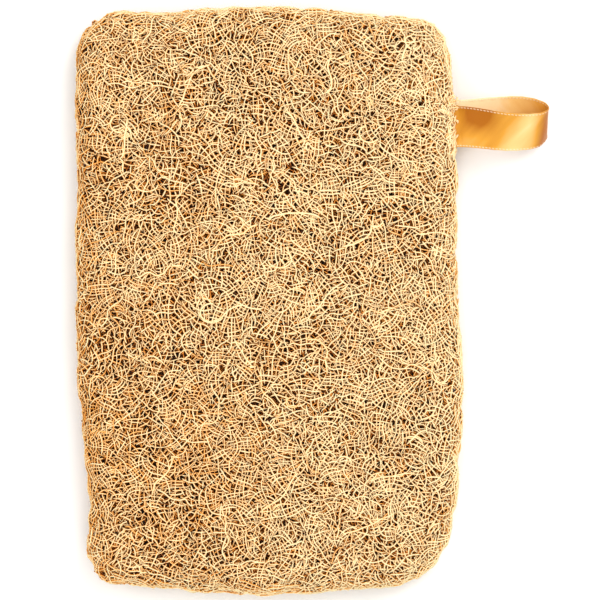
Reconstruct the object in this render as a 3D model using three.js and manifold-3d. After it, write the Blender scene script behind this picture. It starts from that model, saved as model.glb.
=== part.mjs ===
// A natural loofah sponge lying flat: one pressed pad of loofah fibre with rounded corners, and a
// loop of satin ribbon whose two ends are sewn into the pad's right edge.
// Millimetres, +X right, +Y up the pad, +Z up. The origin is under the pad's middle, on its underside.

import * as THREE from 'three';
import { mergeVertices } from 'three/addons/utils/BufferGeometryUtils.js';
import Module from 'manifold-3d';

const wasm = await Module();
wasm.setup();

// Pad
const PAD_HALF_WIDTH = 51;
const PAD_HALF_LENGTH = 77;
const PAD_THICKNESS = 14;
const WIDEST_HEIGHT = 6.6;      // height of the pad's widest line above its underside
const SHOULDER_HEIGHT = 12.6;   // height where the rounded edge meets the crowned top
const UNDER_ROUND = 4.5;        // how far the lower edge rounds in
const UPPER_ROUND = 8;          // how far the upper edge rounds in
const OUTLINE_STEPS = 104;
const EDGE_STEPS = 5;
const CROWN_STEPS = 4;

// Ribbon
const RIBBON_WIDTH = 10.6;
const RIBBON_THICKNESS = 0.4;
const RIBBON_MIDDLE_Y = 46.3;   // the loop's middle line along the pad's right edge
const RIBBON_HEIGHT = 7;        // the loop's middle line above the underside
const ROOT_X = 49.4;            // where the loop leaves the pad's edge
const TAIL_LENGTH = 9;          // how far each end runs into the pad
const TAIL_HALF_GAP = 0.35;     // each end's middle above or below the middle line
const LOOP_LENGTH = 23;
const LOOP_HALF_DEPTH = 4.4;
const LOOP_ROUND_LENGTH = 9.8;  // length of the round far end
const ROOT_HANDLE = [3, 2.2];   // the loop opens from its root by a smooth curve with these two handles
const ROUND_HANDLE = [8, LOOP_HALF_DEPTH];
const TIP_TILT = THREE.MathUtils.degToRad(38);
const TILT_POWER = 0.65;        // below 1, the loop leans soon after it leaves the pad
const ROOT_SKEW = 0.85;         // the two ends lie this much to either side of the middle line
const RIBBON_STEPS = 84;

// Stitches
const THREAD_RADIUS = 0.25;
const STITCH_X = ROOT_X - 5;
const STITCH_PITCH = 1.9;
const STITCH_PASSES = 4;
const STITCH_REACH = 2;         // how far a stitch runs above and below the ribbon's ends
const STITCH_ROOM = 1.2;        // room above and below, for the thread's bends
const HOLE_HALF_HEIGHT = 1;     // a needle hole's cutter, tall enough for both ends of the ribbon
const THREAD_STEPS = 56;
const THREAD_CURVE_SEGMENTS = 4;

const CLEARANCE = 0.3;

// The outline's four sides, clockwise from the top left, as points that a smooth line runs through.
// The corners between them are single curves that bend towards the points in CORNERS.
const SIDES = {
  top: [
    [-42, 75.4], [-36, 75.9], [-25, 75.2], [-19.5, 76.4],
    [-5, 76.9], [10, 76.7], [23, 75.4], [37.5, 74.1],
  ],
  right: [
    [47.6, 64], [48.1, 57], [47.9, 50], [49.2, 38], [49.5, 24], [49.1, 14.5],
    [49.7, 0.5], [50.4, -12.6], [50.8, -26.5], [50, -40], [49.3, -50], [48.4, -57],
  ],
  bottom: [
    [33, -74.4], [18, -75.5], [10, -76.5], [5, -75.9], [-2.3, -77],
    [-12.5, -75.9], [-18, -76.2], [-26, -75], [-39, -74.3],
  ],
  left: [
    [-47.7, -64], [-47.2, -52], [-47.8, -44.4], [-49.6, -27], [-50.3, -14], [-50.6, -2],
    [-50.2, 6.5], [-50.6, 16], [-50.4, 30], [-50.4, 43], [-51, 51], [-50.4, 56], [-50.7, 63],
  ],
};
const CORNERS = { top: [46.5, 73.4], right: [46.4, -71.4], bottom: [-47.3, -73.6], left: [-50, 72.4] };

const material = (color, roughness) => new THREE.MeshStandardMaterial({ color, roughness, metalness: 0 });

function namedMesh(name, geometry, finish) {
  const mesh = new THREE.Mesh(geometry, finish);
  mesh.name = name;
  return mesh;
}

// The pad's outline seen from above, as evenly spaced points.
function padOutline() {
  const path = new THREE.Path();
  const sides = Object.entries(SIDES);
  path.moveTo(...sides[0][1][0]);
  sides.forEach(([side, points], i) => {
    path.splineThru(points.slice(1).map(([x, y]) => new THREE.Vector2(x, y)));
    const next = sides[(i + 1) % sides.length][1][0];
    path.quadraticCurveTo(...CORNERS[side], ...next);
  });
  return path.getSpacedPoints(OUTLINE_STEPS).slice(0, OUTLINE_STEPS);
}

// The pad's section from its underside to its top, as pairs of inset from the outline and height.
function padSection() {
  const rings = [];
  for (let i = 0; i <= EDGE_STEPS; i++) {
    const turn = (i / EDGE_STEPS) * (Math.PI / 2);
    rings.push([UNDER_ROUND * (1 - Math.sin(turn)), WIDEST_HEIGHT * (1 - Math.cos(turn))]);
  }
  for (let i = 1; i <= EDGE_STEPS; i++) {
    const turn = (i / EDGE_STEPS) * (Math.PI / 2);
    const rise = (SHOULDER_HEIGHT - WIDEST_HEIGHT) * Math.sin(turn);
    rings.push([UPPER_ROUND * (1 - Math.cos(turn)), WIDEST_HEIGHT + rise]);
  }
  for (let i = 1; i < CROWN_STEPS; i++) {
    const share = i / CROWN_STEPS;
    const rise = (PAD_THICKNESS - SHOULDER_HEIGHT) * (1 - (1 - share) ** 2);
    rings.push([UPPER_ROUND + share * (PAD_HALF_WIDTH - UPPER_ROUND), SHOULDER_HEIGHT + rise]);
  }
  return rings;
}

// A closed skin over rings of points, with a middle point at each end.
function skinOverRings(rings, firstMiddle, lastMiddle) {
  const count = rings[0].length;
  const positions = [...rings.flat(), firstMiddle, lastMiddle].flatMap((p) => p.toArray());
  const first = rings.length * count;
  const last = first + 1;
  const index = [];
  for (let i = 0; i < count; i++) {
    const j = (i + 1) % count;
    index.push(first, i, j);
    for (let ring = 0; ring < rings.length - 1; ring++) {
      const low = ring * count;
      const high = low + count;
      index.push(low + i, high + i, high + j, low + i, high + j, low + j);
    }
    const top = (rings.length - 1) * count;
    index.push(last, top + j, top + i);
  }
  const geometry = new THREE.BufferGeometry();
  geometry.setAttribute('position', new THREE.Float32BufferAttribute(positions, 3));
  geometry.setIndex(index);
  return geometry;
}

// The outline runs clockwise seen from above, so the skin's faces point out.
function padGeometry() {
  const outline = padOutline();
  const rings = padSection().map(([inset, height]) => {
    const across = 1 - inset / PAD_HALF_WIDTH;
    const along = 1 - inset / PAD_HALF_LENGTH;
    return outline.map((p) => new THREE.Vector3(p.x * across, p.y * along, height));
  });
  return skinOverRings(rings, new THREE.Vector3(), new THREE.Vector3(0, 0, PAD_THICKNESS));
}

// The ribbon's run seen along its width: x outwards from the pad's edge, y up from the middle line.
function loopPath() {
  const roundStart = LOOP_LENGTH - LOOP_ROUND_LENGTH;
  const path = new THREE.Path();
  path.moveTo(-TAIL_LENGTH, TAIL_HALF_GAP);
  path.lineTo(0, TAIL_HALF_GAP);
  path.bezierCurveTo(...ROOT_HANDLE, ...ROUND_HANDLE, roundStart, LOOP_HALF_DEPTH);
  path.absellipse(roundStart, 0, LOOP_ROUND_LENGTH, LOOP_HALF_DEPTH, Math.PI / 2, -Math.PI / 2, true);
  path.bezierCurveTo(
    ROUND_HANDLE[0], -ROUND_HANDLE[1],
    ROOT_HANDLE[0], -ROOT_HANDLE[1],
    0, -TAIL_HALF_GAP,
  );
  path.lineTo(-TAIL_LENGTH, -TAIL_HALF_GAP);
  return path;
}

// The place of a point of the ribbon: out from the edge, up from the middle line, and across its width.
// The loop leans over more and more towards its tip, so its inside shows from above.
function ribbonPoint(out, up, across) {
  const share = THREE.MathUtils.clamp(out / LOOP_LENGTH, 0, 1);
  const tilt = TIP_TILT * share ** TILT_POWER;
  const skew = Math.sign(up) * ROOT_SKEW * (1 - share);
  return new THREE.Vector3(
    ROOT_X + out,
    RIBBON_MIDDLE_Y + across * Math.cos(tilt) - up * Math.sin(tilt) - skew,
    RIBBON_HEIGHT + across * Math.sin(tilt) + up * Math.cos(tilt),
  );
}

function ribbonGeometry() {
  const path = loopPath();
  const rings = [];
  for (let i = 0; i <= RIBBON_STEPS; i++) {
    const middle = path.getPointAt(i / RIBBON_STEPS);
    const along = path.getTangentAt(i / RIBBON_STEPS);
    const outward = new THREE.Vector2(-along.y, along.x).multiplyScalar(RIBBON_THICKNESS / 2);
    const corners = [[1, -1], [1, 1], [-1, 1], [-1, -1]];
    rings.push(corners.map(([face, edge]) => ribbonPoint(
      middle.x + face * outward.x,
      middle.y + face * outward.y,
      (edge * RIBBON_WIDTH) / 2,
    )));
  }
  const middleOf = (ring) => {
    const total = ring.reduce((sum, p) => sum.add(p), new THREE.Vector3());
    return total.divideScalar(ring.length);
  };
  return skinOverRings(rings, middleOf(rings[0]), middleOf(rings[RIBBON_STEPS]));
}

// How far up the pad's edge a pass of the thread is.
function stitchY(pass) {
  return RIBBON_MIDDLE_Y + (pass - (STITCH_PASSES - 1) / 2) * STITCH_PITCH;
}

// The thread goes up and down through the ribbon's ends, side by side across its width.
function threadGeometry() {
  const reach = TAIL_HALF_GAP + STITCH_REACH;
  const points = [];
  for (let pass = 0; pass < STITCH_PASSES; pass++) {
    const direction = pass % 2 === 0 ? 1 : -1;
    for (const share of [-1, 0, 1]) {
      const z = RIBBON_HEIGHT + direction * share * reach;
      points.push(new THREE.Vector3(STITCH_X, stitchY(pass), z));
    }
  }
  const route = new THREE.CatmullRomCurve3(points, false, 'centripetal');
  const section = new THREE.Shape();
  section.absarc(0, 0, THREAD_RADIUS, 0, 2 * Math.PI, false);
  return new THREE.ExtrudeGeometry(section, {
    extrudePath: route,
    steps: THREAD_STEPS,
    curveSegments: THREAD_CURVE_SEGMENTS,
  });
}

function solidOf(geometry) {
  const bare = geometry.clone();
  bare.deleteAttribute('normal');
  bare.deleteAttribute('uv');
  const merged = mergeVertices(bare, 1e-4);
  return new wasm.Manifold(new wasm.Mesh({
    numProp: 3,
    vertProperties: Float32Array.from(merged.attributes.position.array),
    triVerts: Uint32Array.from(merged.index.array),
  }));
}

function geometryOf(solid) {
  const { vertProperties, triVerts } = solid.getMesh();
  const geometry = new THREE.BufferGeometry();
  geometry.setAttribute('position', new THREE.Float32BufferAttribute(vertProperties, 3));
  geometry.setIndex([...triVerts]);
  return geometry;
}

function boxSolid(low, high) {
  const size = high.clone().sub(low);
  const box = new THREE.BoxGeometry(size.x, size.y, size.z);
  box.translate(...low.clone().add(high).divideScalar(2).toArray());
  return solidOf(box);
}

// The slot in the pad's edge that the ribbon's ends lie in.
function ribbonSlot() {
  const halfWidth = RIBBON_WIDTH / 2 + ROOT_SKEW + CLEARANCE;
  const halfHeight = TAIL_HALF_GAP + RIBBON_THICKNESS / 2 + CLEARANCE;
  const back = ROOT_X - TAIL_LENGTH - CLEARANCE;
  return boxSolid(
    new THREE.Vector3(back, RIBBON_MIDDLE_Y - halfWidth, RIBBON_HEIGHT - halfHeight),
    new THREE.Vector3(PAD_HALF_WIDTH + CLEARANCE, RIBBON_MIDDLE_Y + halfWidth, RIBBON_HEIGHT + halfHeight),
  );
}

// The room round the stitches, among the pad's fibres.
function stitchRoom() {
  const halfX = THREAD_RADIUS + CLEARANCE;
  const halfY = (STITCH_PASSES / 2) * STITCH_PITCH + CLEARANCE;
  const halfZ = TAIL_HALF_GAP + STITCH_REACH + STITCH_ROOM;
  return boxSolid(
    new THREE.Vector3(STITCH_X - halfX, RIBBON_MIDDLE_Y - halfY, RIBBON_HEIGHT - halfZ),
    new THREE.Vector3(STITCH_X + halfX, RIBBON_MIDDLE_Y + halfY, RIBBON_HEIGHT + halfZ),
  );
}

// One needle hole through both of the ribbon's ends.
function needleHole(pass) {
  const half = THREAD_RADIUS + CLEARANCE;
  const y = stitchY(pass);
  return boxSolid(
    new THREE.Vector3(STITCH_X - half, y - half, RIBBON_HEIGHT - HOLE_HALF_HEIGHT),
    new THREE.Vector3(STITCH_X + half, y + half, RIBBON_HEIGHT + HOLE_HALF_HEIGHT),
  );
}

function loofahPad() {
  const solid = solidOf(padGeometry()).subtract(ribbonSlot()).subtract(stitchRoom());
  return namedMesh('loofah_pad', geometryOf(solid), material(0xdcae66, 0.85));
}

function ribbonLoop() {
  let solid = solidOf(ribbonGeometry());
  for (let pass = 0; pass < STITCH_PASSES; pass++) {
    solid = solid.subtract(needleHole(pass));
  }
  return namedMesh('ribbon_loop', geometryOf(solid), material(0xf5a93c, 0.35));
}

function ribbonStitching() {
  return namedMesh('ribbon_stitching', threadGeometry(), material(0xf0dcb4, 0.7));
}

const sponge = new THREE.Group();
sponge.add(loofahPad(), ribbonLoop(), ribbonStitching());

export default sponge;
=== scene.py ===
"""A natural loofah sponge: a pressed pad of loofah net with a loop of satin ribbon, on a pale floor."""

import logging
from dataclasses import dataclass, field
from enum import Enum
from typing import Any

import bpy
import numpy as np
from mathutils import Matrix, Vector


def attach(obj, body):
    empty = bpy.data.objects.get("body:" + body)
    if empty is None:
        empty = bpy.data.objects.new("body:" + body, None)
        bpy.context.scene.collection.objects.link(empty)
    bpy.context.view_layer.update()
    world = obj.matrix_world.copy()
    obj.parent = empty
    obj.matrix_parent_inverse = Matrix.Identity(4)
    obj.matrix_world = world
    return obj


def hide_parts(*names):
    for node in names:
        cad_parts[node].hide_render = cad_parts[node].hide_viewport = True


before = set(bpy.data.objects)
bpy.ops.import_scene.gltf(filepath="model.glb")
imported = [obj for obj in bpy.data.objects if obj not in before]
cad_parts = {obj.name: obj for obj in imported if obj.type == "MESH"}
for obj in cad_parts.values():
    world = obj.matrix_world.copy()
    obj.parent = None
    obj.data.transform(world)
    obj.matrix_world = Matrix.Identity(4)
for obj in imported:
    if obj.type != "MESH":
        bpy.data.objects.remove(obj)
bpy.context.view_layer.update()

# Shapes are worked out in millimetres, and a mesh is written in metres.
MM = 0.001
TURN = 2 * np.pi
# The ribbon's middle where it leaves the pad, and its height there.
RIBBON_Y = 46.3
RIBBON_Z = 7.0
LOG = logging.getLogger("loofah")


class Face(Enum):
    """A side of the pad that a net lies over."""

    TOP = 1
    UNDERSIDE = -1


class Side(Enum):
    """A side of the pad's outline, with its outward direction."""

    LEFT = (-1, 0)
    RIGHT = (1, 0)
    TOP = (0, 1)
    BOTTOM = (0, -1)


def linear(code: str) -> tuple[float, float, float, float]:
    """Turns a written colour into the numbers a shader takes.

    Args:
        code: six hexadecimal digits, as a screen shows the colour.

    Returns:
        Red, green, blue and alpha, linear.
    """
    # Screens darken a colour's numbers along this standard curve.
    parts = [int(code[i:i + 2], 16) / 255 for i in (0, 2, 4)]
    red, green, blue = (c / 12.92 if c < 0.04045 else ((c + 0.055) / 1.055) ** 2.4 for c in parts)
    return red, green, blue, 1.0


def unit(vectors: np.ndarray) -> np.ndarray:
    """Each row at length 1."""
    return vectors / np.maximum(np.linalg.norm(vectors, axis=1, keepdims=True), 1e-12)


def run_along(points: np.ndarray) -> np.ndarray:
    """How far along a line each of its points lies."""
    return np.concatenate([[0], np.cumsum(np.linalg.norm(np.diff(points, axis=0), axis=1))])


def read_along(wanted: np.ndarray, run: np.ndarray, points: np.ndarray) -> np.ndarray:
    """Places on a flat line at the wanted runs, where its points lie at run."""
    return np.stack([np.interp(wanted, run, points[:, k]) for k in (0, 1)], 1)


def between(grid: np.ndarray, place: np.ndarray, eased: bool = False) -> np.ndarray:
    """Reads a grid of values between its points.

    Args:
        grid: the values, by column and row. Each may be a number or a row of numbers.
        place: where to read it, in cells.
        eased: whether the values level off at the grid's points.

    Returns:
        What the grid holds at each place.
    """
    # A place stops just short of the last point, so that it always has a next one.
    place = np.clip(place, 0, np.array(grid.shape[:2]) - 1.001)
    low = place.astype(int)
    part = place - low
    if eased:
        part = part * part * (3 - 2 * part)
    x, y = part.T.reshape((2, -1) + (1,) * (grid.ndim - 2))
    i, j = low.T
    lower = grid[i, j] * (1 - x) + grid[i + 1, j] * x
    upper = grid[i, j + 1] * (1 - x) + grid[i + 1, j + 1] * x
    return lower * (1 - y) + upper * y


def new_piece(
    name: str, places: np.ndarray, faces: list[list[int]], finish: bpy.types.Material
) -> bpy.types.Object:
    """Makes a smooth piece and puts it in the scene.

    Args:
        name: its name.
        places: its corners, in millimetres.
        faces: the corners of each face.
        finish: its material.

    Returns:
        The piece.
    """
    mesh = bpy.data.meshes.new(name)
    mesh.from_pydata((places * MM).tolist(), [], faces)
    mesh.shade_smooth()
    mesh.materials.append(finish)
    piece = bpy.data.objects.new(name, mesh)
    bpy.context.scene.collection.objects.link(piece)
    return piece


def write_map(piece: bpy.types.Object, name: str, places: np.ndarray) -> None:
    """Gives a piece's mesh a flat map.

    Args:
        piece: the piece.
        name: the map's name.
        places: where each corner of each face lies on it.
    """
    layer = piece.data.uv_layers.new(name=name, do_init=False)
    layer.uv.foreach_set("vector", places.astype(np.float32).ravel())


class Signal:
    """An output socket that can stand in a sum. Each sum adds a Math node."""

    def __init__(self, graph: "Graph", socket: bpy.types.NodeSocket) -> None:
        """Keeps the socket and the graph it is in."""
        self.graph = graph
        self.socket = socket

    def _maths(self, operation: str, *values: Any) -> "Signal":
        """Adds a Math node over values."""
        return self.graph.node("ShaderNodeMath", {"operation": operation}, dict(enumerate(values)))

    def __add__(self, other: Any) -> "Signal":
        """The sum."""
        return self._maths("ADD", self, other)

    def __radd__(self, other: Any) -> "Signal":
        """The sum, with the number first."""
        return self._maths("ADD", other, self)

    def __sub__(self, other: Any) -> "Signal":
        """The difference."""
        return self._maths("SUBTRACT", self, other)

    def __rsub__(self, other: Any) -> "Signal":
        """The difference, with the number first."""
        return self._maths("SUBTRACT", other, self)

    def __mul__(self, other: Any) -> "Signal":
        """The product."""
        return self._maths("MULTIPLY", self, other)

    def __rmul__(self, other: Any) -> "Signal":
        """The product, with the number first."""
        return self._maths("MULTIPLY", other, self)

    def wave(self) -> "Signal":
        """A wave from 0 to 1 and back for each full turn, in radians."""
        return self._maths("SINE", self) * 0.5 + 0.5

    def size(self) -> "Signal":
        """The value with no sign."""
        return self._maths("ABSOLUTE", self)

    def clamped(self) -> "Signal":
        """The value held between 0 and 1."""
        return self.graph.node("ShaderNodeClamp", {}, {0: self})

    def band(self, middle: float, half_width: float) -> "Signal":
        """A soft band that is 1 at middle and 0 past half_width from it."""
        return 1 - (self - middle).size().rise(0.0, half_width)

    def rise(self, low: float, high: float) -> "Signal":
        """A smooth step from 0 at low to 1 at high."""
        sockets = {0: self, 1: low, 2: high, 3: 0.0, 4: 1.0}
        return self.graph.node("ShaderNodeMapRange", {"interpolation_type": "SMOOTHSTEP"}, sockets)


class Graph:
    """A material's nodes."""

    def __init__(self, name: str) -> None:
        """Starts an empty material.

        Args:
            name: the material's name.
        """
        self.material = bpy.data.materials.new(name)
        self.material.use_nodes = True
        self.tree = self.material.node_tree
        self.tree.nodes.clear()

    def node(
        self, kind: str, settings: dict[str, Any], inputs: dict[Any, Any], output: Any = 0
    ) -> Signal:
        """Adds a node.

        Args:
            kind: the node's type.
            settings: its properties, set first. "stops" holds a ramp's places and colours.
            inputs: a value or a Signal for each socket, by number or name.
            output: the socket to go on from, by number or name.

        Returns:
            That socket.
        """
        made = self.tree.nodes.new(kind)
        for key, value in settings.items():
            if key == "stops":
                self._ramp(made, value)
            else:
                setattr(made, key, value)
        for key, value in inputs.items():
            if isinstance(value, Signal):
                self.tree.links.new(value.socket, made.inputs[key])
            else:
                made.inputs[key].default_value = value
        return Signal(self, made.outputs[output])

    @staticmethod
    def _ramp(made: bpy.types.Node, stops: tuple[tuple[float, str], ...]) -> None:
        """Sets a colour ramp's stops.

        Args:
            made: the ramp's node.
            stops: the place and the written colour of each.
        """
        elements = made.color_ramp.elements
        while len(elements) < len(stops):
            elements.new(0.5)
        for element, (place, code) in zip(elements, stops):
            element.position = place
            element.color = linear(code)

    def ramp(self, value: Signal, *stops: tuple[float, str]) -> Signal:
        """A colour picked along stops by value."""
        return self.node("ShaderNodeValToRGB", {"stops": stops}, {0: value})

    def mix(self, share: Any, first: Any, second: Any) -> Signal:
        """Two colours mixed by share."""
        return self.node("ShaderNodeMix", {"data_type": "RGBA"}, {0: share, 6: first, 7: second}, 2)

    def attribute(self, name: str) -> Signal:
        """A number that the mesh holds at each point."""
        return self.node("ShaderNodeAttribute", {"attribute_name": name}, {}, "Fac")

    def places(self) -> Signal:
        """Places on the object, in metres."""
        return self.node("ShaderNodeTexCoord", {}, {}, "Object")

    def noise(self, scale: float, detail: float = 2.0, vector: Signal | None = None) -> Signal:
        """Noise with a cell of about 1 / scale metres."""
        sockets = {"Vector": vector or self.places(), "Scale": scale, "Detail": detail}
        return self.node("ShaderNodeTexNoise", {}, sockets)

    def bump(self, height: Signal, distance: float) -> Signal:
        """A normal that follows height, where 1 stands for distance in metres."""
        return self.node("ShaderNodeBump", {}, {"Height": height, "Distance": distance, "Strength": 1.0})

    def finish(self, **sockets: Any) -> bpy.types.Material:
        """Ends the material in a Principled shader.

        Args:
            sockets: its sockets, with underscores for spaces.

        Returns:
            The material.
        """
        named = {key.replace("_", " "): value for key, value in sockets.items()}
        shader = self.node("ShaderNodeBsdfPrincipled", {}, named)
        self.node_output(shader)
        return self.material

    def node_output(self, shader: Signal) -> None:
        """Joins the shader to the material's output, which has no socket to go on from."""
        made = self.tree.nodes.new("ShaderNodeOutputMaterial")
        self.tree.links.new(shader.socket, made.inputs["Surface"])


@dataclass(frozen=True)
class FibreFinish:
    """Dry loofah fibre. Its shade runs from dark to pale by the mesh's own tone, which holds painted
    shade on the deeper fibres and a painted highlight on each fibre's outer side.
    """

    name: str = "loofah_fibre"
    # The dark stops are partly the fibre's own darker colour and partly painted shade; the pale stop is
    # partly pale fibre and partly painted highlight.
    deep: str = "321402"
    brown: str = "C86A0C"
    gold: str = "F8AF48"
    pale: str = "FFEAB6"
    brown_tone: float = 0.35
    gold_tone: float = 0.68
    blotch_scale: float = 420.0
    blotch_depth: float = 0.3
    grain_scale: float = 3800.0
    grain_depth: float = 0.2
    grain_height: float = 0.06
    least_roughness: float = 0.5
    grain_roughness: float = 0.25

    def material(self) -> bpy.types.Material:
        """Makes the material, with blotches along the fibres and fine grain.

        Returns:
            The material.
        """
        graph = Graph(self.name)
        blotch = graph.noise(self.blotch_scale)
        grain = graph.noise(self.grain_scale, 3.0)
        uneven = (blotch - 0.5) * self.blotch_depth + (grain - 0.5) * self.grain_depth
        shade = (graph.attribute("tone") + uneven).clamped()
        colour = graph.ramp(
            shade, (0.0, self.deep), (self.brown_tone, self.brown),
            (self.gold_tone, self.gold), (1.0, self.pale),
        )
        return graph.finish(
            Base_Color=colour, Roughness=self.least_roughness + grain * self.grain_roughness,
            Normal=graph.bump(grain, self.grain_height * MM), Specular_IOR_Level=0.35, IOR=1.45,
        )


@dataclass(frozen=True)
class InnerShadeFinish:
    """The close tangle deep inside the pad, as it shows through the net, in dark copies of the fibre's
    colours that paint its shade.
    """

    name: str = "loofah_inner_shade"
    # Painted shade: these are the fibre's colours darkened, as the tangle lies in shadow.
    deep: str = "160A02"
    brown: str = "402106"
    gold: str = "744814"
    strand_scale: float = 620.0
    strand_edge: tuple[float, float] = (0.03, 0.2)
    strand_height: float = 0.4
    bend_scale: float = 300.0
    bend: float = 3.0
    patch_scale: float = 260.0
    patch_share: float = 0.25
    roughness: float = 0.8

    def material(self) -> bpy.types.Material:
        """Makes the material, with a criss-cross of strands.

        Returns:
            The material.
        """
        graph = Graph(self.name)
        places = graph.places()
        sway = graph.node(
            "ShaderNodeTexNoise", {}, {"Vector": places, "Scale": self.bend_scale}, "Color"
        )
        sway = graph.node("ShaderNodeVectorMath", {"operation": "SCALE"}, {0: sway, 3: self.bend * MM})
        bent = graph.node("ShaderNodeVectorMath", {"operation": "ADD"}, {0: places, 1: sway})
        cells = graph.node(
            "ShaderNodeTexVoronoi", {"feature": "DISTANCE_TO_EDGE"},
            {"Vector": bent, "Scale": self.strand_scale},
        )
        strands = 1 - cells.rise(*self.strand_edge)
        patches = graph.noise(self.patch_scale)
        shade = strands * (1 - self.patch_share) + patches * self.patch_share
        colour = graph.ramp(shade, (0.0, self.deep), (0.5, self.brown), (1.0, self.gold))
        normal = graph.bump(strands, self.strand_height * MM)
        return graph.finish(Base_Color=colour, Roughness=self.roughness, Normal=normal)


@dataclass(frozen=True)
class Band:
    """A soft band across the ribbon: its middle and half width in millimetres, and its strength."""

    middle: float
    half_width: float
    strength: float

    def over(self, run: Signal) -> Signal:
        """How strong the band is along run."""
        return run.band(self.middle, self.half_width) * self.strength


@dataclass(frozen=True)
class SatinFinish:
    """Gold satin ribbon with pale woven edges and painted sheen. The mesh's map holds millimetres along
    and across.
    """

    name: str = "satin_ribbon"
    # Painted sheen: shadow is painted shade, gold the plain cloth, and the two palest colours painted
    # highlights. The weave also darkens towards shadow.
    shadow: str = "B06402"
    gold: str = "E09C32"
    light: str = "F8CE84"
    painted_highlight: str = "FFE4B0"
    edge: str = "FBEACB"
    gold_shade: float = 0.42
    light_shade: float = 0.85
    plain_shade: float = 0.42
    # The slant of the front's painted highlight, then bands of painted highlight on the front and back
    # strips and of painted shade near the root and in the turn.
    slant: float = 0.6
    front_painted_highlight: Band = Band(27.0, 7.0, 0.42)
    back_painted_highlight: Band = Band(56.0, 21.0, 0.85)
    root_painted_shade: Band = Band(14.5, 8.0, 0.7)
    root_painted_shade_side: tuple[float, float] = (-4.0, 5.0)
    turn_painted_shade: Band = Band(32.8, 5.0, 0.5)
    crumple_scale: float = 0.22
    crumple_sheen_depth: float = 0.5
    crumple_slant: float = 0.8
    crumple_stretch: float = 0.4
    rib_pitch: float = 0.24
    float_pitch: float = 0.33
    float_slant: float = 9.0
    weave_depth: float = 0.14
    half_width: float = 5.3
    edge_inset: float = 0.38
    edge_width: float = 0.26
    edge_cover: float = 0.65
    dash_pitch: float = 0.9
    dash_slant: float = 3.0
    dash_edge: tuple[float, float] = (0.1, 0.5)
    wrinkle_scale: float = 0.62
    wrinkle_height: float = 0.8
    wrinkle_stretch: float = 0.7
    root_wrinkles: Band = Band(9.5, 7.0, 3.2)
    rib_height: float = 0.35
    float_height: float = 0.25
    relief: float = 0.05
    roughness: float = 0.36
    edge_roughness: float = 0.3
    rib_roughness: float = 0.06

    def cloth(self, graph: Graph, along: Signal, across: Signal) -> Signal:
        """Makes the cloth's colour, with its painted sheen: a diagonal painted highlight on the front, a
        broad one on the back, and painted shade near the root and in the turn.

        Args:
            graph: the material's nodes.
            along: millimetres along the ribbon.
            across: millimetres across it, from its middle.

        Returns:
            The colour, before the weave.
        """
        folded = graph.node("ShaderNodeCombineXYZ", {}, {
            0: along - across * self.crumple_slant, 1: across * self.crumple_stretch,
        })
        crumple_sheen = graph.noise(self.crumple_scale, 2.0, folded)
        # Painted sheen: highlights and shade laid into the colour by place along the ribbon, with
        # crumpled patches of painted light.
        sheen = (
            self.plain_shade + self.front_painted_highlight.over(along - across * self.slant)
            + self.back_painted_highlight.over(along)
            - self.root_painted_shade.over(along) * across.rise(*self.root_painted_shade_side)
            - self.turn_painted_shade.over(along) + (crumple_sheen - 0.5) * self.crumple_sheen_depth
        ).clamped()
        return graph.ramp(
            sheen, (0.0, self.shadow), (self.gold_shade, self.gold),
            (self.light_shade, self.light), (1.0, self.painted_highlight),
        )

    def material(self) -> bpy.types.Material:
        """Makes the material: painted sheen, fine ribs of weave, wrinkles and dashed edges.

        Returns:
            The material.
        """
        graph = Graph(self.name)
        place = graph.node("ShaderNodeUVMap", {"uv_map": "Weave"}, {})
        along = graph.node("ShaderNodeSeparateXYZ", {}, {0: place}, "X")
        across = graph.node("ShaderNodeSeparateXYZ", {}, {0: place}, "Y")
        ribs = (across * (TURN / self.rib_pitch)).wave()
        floats = (along * (TURN / self.float_pitch) + across * self.float_slant).wave()
        edge = across.size().band(self.half_width - self.edge_inset, self.edge_width)
        dashes = (along * (TURN / self.dash_pitch) + across * self.dash_slant).wave()
        dashes = edge * dashes.rise(*self.dash_edge)
        cloth = self.cloth(graph, along, across)
        cloth = graph.mix(ribs * floats * self.weave_depth, cloth, linear(self.shadow))
        colour = graph.mix(dashes * self.edge_cover, cloth, linear(self.edge))
        flat = graph.node("ShaderNodeCombineXYZ", {}, {
            0: along, 1: across * self.wrinkle_stretch,
        })
        wrinkles = graph.noise(self.wrinkle_scale, 3.0, flat)
        wrinkles = wrinkles * (self.wrinkle_height + self.root_wrinkles.over(along))
        height = ribs * self.rib_height + floats * self.float_height + dashes + wrinkles
        rough = self.roughness + edge * self.edge_roughness + ribs * self.rib_roughness
        return graph.finish(
            Base_Color=colour, Roughness=rough, Normal=graph.bump(height, self.relief * MM),
            Specular_IOR_Level=0.2, Sheen_Weight=0.04, Sheen_Roughness=0.4, Anisotropic=0.5,
        )


@dataclass(frozen=True)
class ThreadFinish:
    """Pale sewing thread."""

    name: str = "sewing_thread"
    dark: str = "C9A873"
    pale: str = "F3E3C2"
    twist_scale: float = 900.0
    twist_wander: float = 1.5
    twist_height: float = 0.04
    roughness: float = 0.75

    def material(self) -> bpy.types.Material:
        """Makes the material, with the thread's twist as slanting lines.

        Returns:
            The material.
        """
        graph = Graph(self.name)
        twist = graph.node("ShaderNodeTexWave", {"bands_direction": "DIAGONAL"}, {
            "Vector": graph.places(), "Scale": self.twist_scale, "Distortion": self.twist_wander,
        })
        colour = graph.ramp(twist, (0.0, self.dark), (1.0, self.pale))
        normal = graph.bump(twist, self.twist_height * MM)
        return graph.finish(Base_Color=colour, Roughness=self.roughness, Normal=normal)


@dataclass(frozen=True)
class FloorFinish:
    """A plain pale studio floor."""

    name: str = "pale_floor"
    colour: str = "FAFAF8"
    roughness: float = 0.9

    def material(self) -> bpy.types.Material:
        """The material, smooth and matt."""
        return Graph(self.name).finish(Base_Color=linear(self.colour), Roughness=self.roughness)


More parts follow.
